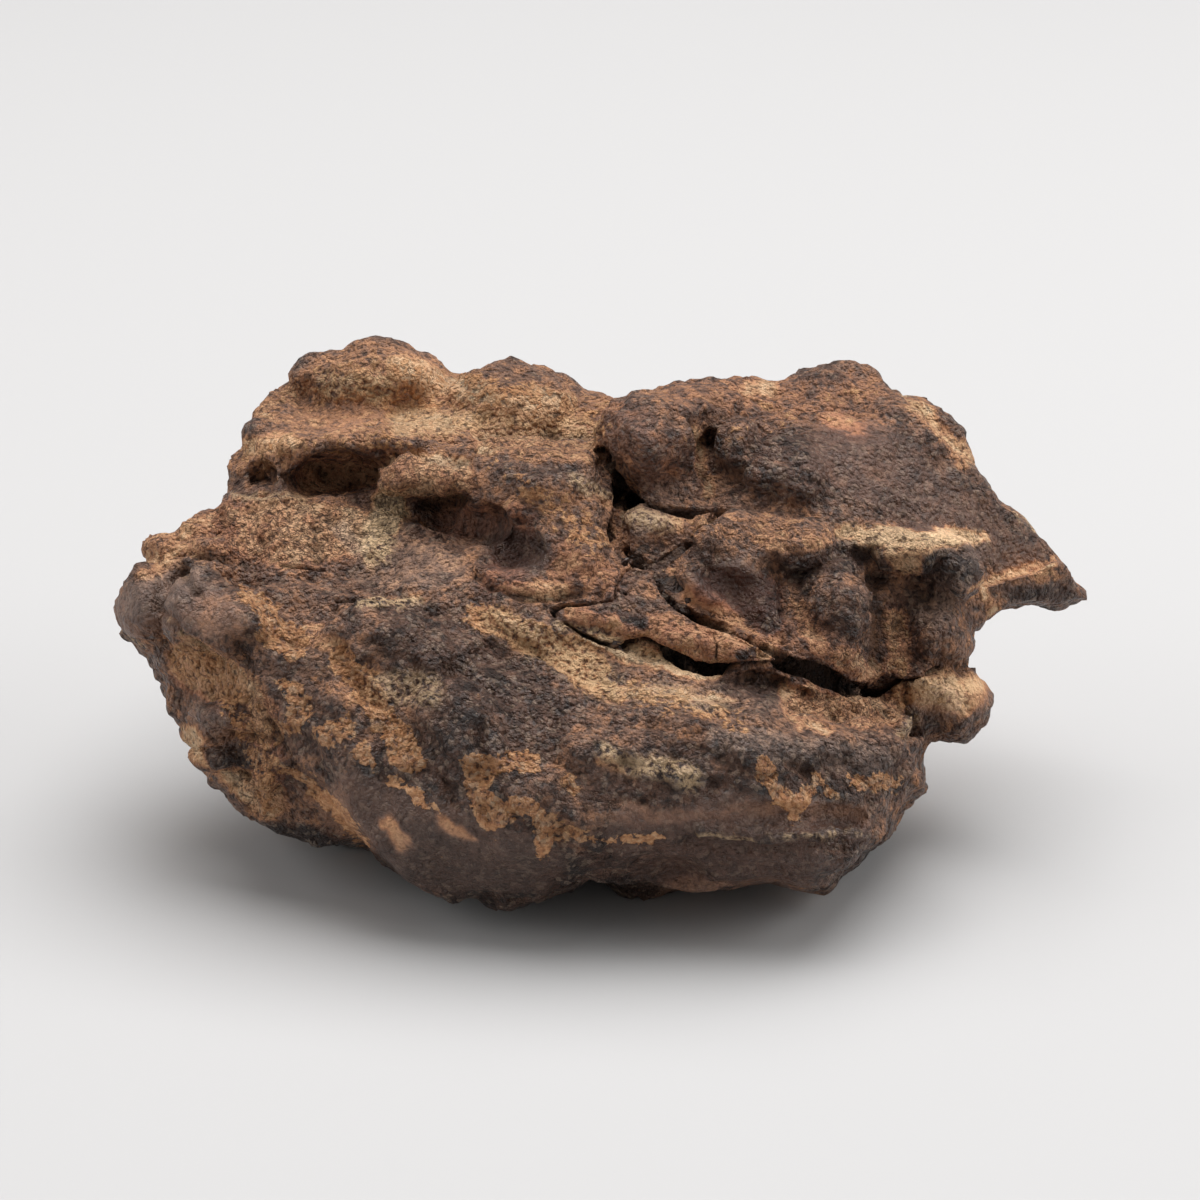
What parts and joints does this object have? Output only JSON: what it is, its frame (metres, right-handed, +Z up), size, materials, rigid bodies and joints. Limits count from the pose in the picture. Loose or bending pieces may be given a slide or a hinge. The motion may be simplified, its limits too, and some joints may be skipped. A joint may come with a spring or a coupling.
{
  "type": "meteorite",
  "caption": "Palm-sized weathered iron meteorite: a knobbly lump with a brown oxide crust, tan rust in its hollows, deep clefts and a sharp corner at its right",
  "frame": {"origin": "on the ground, under the middle of the stone's bounding box", "axes": "+Z up, +X along the stone's length towards its sharp corner, +Y away from the front face"},
  "size_m": [0.0734, 0.049, 0.0338],
  "materials": {
    "oxide_crust": "matte"
  },
  "bodies": {
    "root": {"meteorite": "oxide_crust"}
  },
  "joints": []
}
